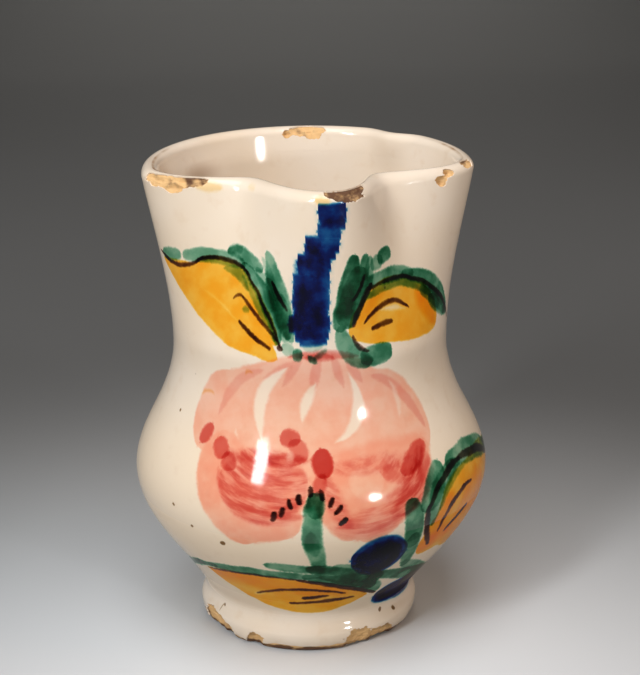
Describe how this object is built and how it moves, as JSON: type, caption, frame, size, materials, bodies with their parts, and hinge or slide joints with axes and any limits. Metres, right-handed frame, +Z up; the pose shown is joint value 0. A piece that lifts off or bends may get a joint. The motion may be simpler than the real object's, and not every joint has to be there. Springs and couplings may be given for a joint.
{
  "type": "ceramic jug",
  "caption": "Tin-glazed earthenware jug with a pinched trefoil mouth, round belly, turned foot and strap handle, for holding and pouring liquids.",
  "frame": {"origin": "centre of the flat underside, on the jug's axis", "axes": "+Z up along the jug's axis, spout towards -Y, handle towards +Y"},
  "size_m": [0.1336, 0.1594, 0.179],
  "materials": {
    "clay": "matt fired earthenware",
    "slip": "matt fired slip",
    "glaze": "gloss tin glaze"
  },
  "bodies": {
    "root": {"base_disc": "clay", "foot_ring": "clay", "foot_slip": "slip", "belly_wall": "clay", "waist_slip": "slip", "neck_wall": "clay", "handle_strap": "clay", "handle_top_slip": "slip", "handle_tail_slip": "slip", "outside_glaze": "glaze", "inside_glaze": "glaze", "handle_glaze": "glaze"}
  },
  "joints": []
}
